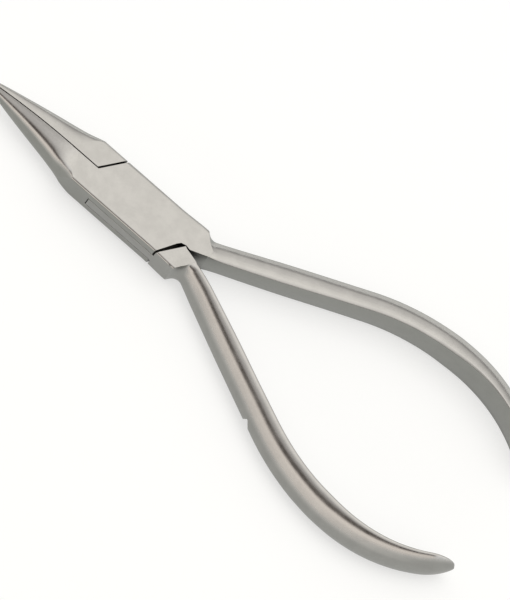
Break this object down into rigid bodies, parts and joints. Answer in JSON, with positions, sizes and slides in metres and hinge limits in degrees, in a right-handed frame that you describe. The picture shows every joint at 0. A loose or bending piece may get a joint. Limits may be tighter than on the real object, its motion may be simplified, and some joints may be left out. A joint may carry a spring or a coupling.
{
  "type": "flat nose pliers",
  "caption": "Slim orthodontic flat nose pliers: box joint on a flush pin, long tapered jaws with flat gripping faces and bowed handles, jaws closed.",
  "frame": {"origin": "on the pivot axis, at the joint's back face", "axes": "+X from the pivot to the jaw tips along the closed jaws, +Y to the side of the slotted half's jaw, +Z along the pivot axis to the front face"},
  "size_m": [0.1371, 0.0532, 0.0092],
  "materials": {
    "slotted_half_steel": "satin, fine blasted",
    "tongue_half_steel": "satin, fine blasted",
    "pivot_pin_steel": "satin, ground flush"
  },
  "bodies": {
    "slotted_half": {"slotted_half": "slotted_half_steel", "pivot_pin": "pivot_pin_steel"},
    "tongue_half": {"tongue_half": "tongue_half_steel"}
  },
  "joints": [
    {"name": "jaw_pivot", "type": "hinge", "parent": "slotted_half", "child": "tongue_half", "pos_m": [0, 0, 0.0037], "axis": [0, 0, -1], "range_deg": [0, 30]}
  ]
}
